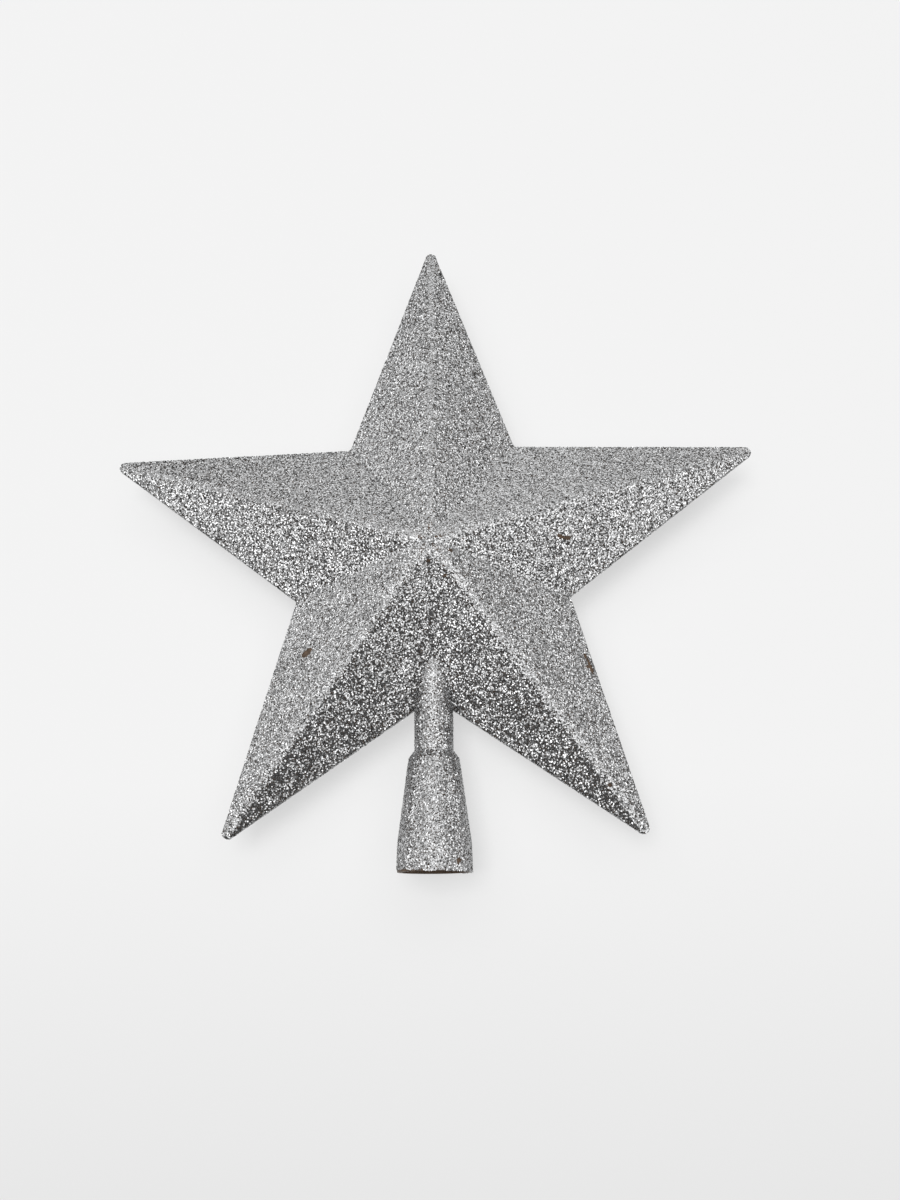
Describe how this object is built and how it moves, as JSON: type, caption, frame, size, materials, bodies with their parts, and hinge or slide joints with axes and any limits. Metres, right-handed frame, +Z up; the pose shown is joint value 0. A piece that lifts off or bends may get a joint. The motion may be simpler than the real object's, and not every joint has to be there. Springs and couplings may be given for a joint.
{
  "type": "tree topper star",
  "caption": "Hollow faceted star tree topper with a round neck and a flared push-on socket, coated all over in silver glitter.",
  "frame": {"origin": "centre of the socket's open mouth", "axes": "+Z up the socket's axis to the top point of the star, the star in the XZ plane, its front towards -Y"},
  "size_m": [0.2006, 0.038, 0.2009],
  "materials": {
    "moulded_plastic": "brown moulded plastic, bare only in chips of the coat and inside the socket",
    "adhesive": "cured glue",
    "silver_glitter": "silver glitter flakes held in a thin clear coat"
  },
  "bodies": {
    "root": {"front_shell": "moulded_plastic", "back_shell": "moulded_plastic", "tree_socket": "moulded_plastic", "seam_adhesive": "adhesive", "socket_adhesive": "adhesive", "front_glitter_coat": "silver_glitter", "back_glitter_coat": "silver_glitter", "socket_glitter_coat": "silver_glitter"}
  },
  "joints": []
}
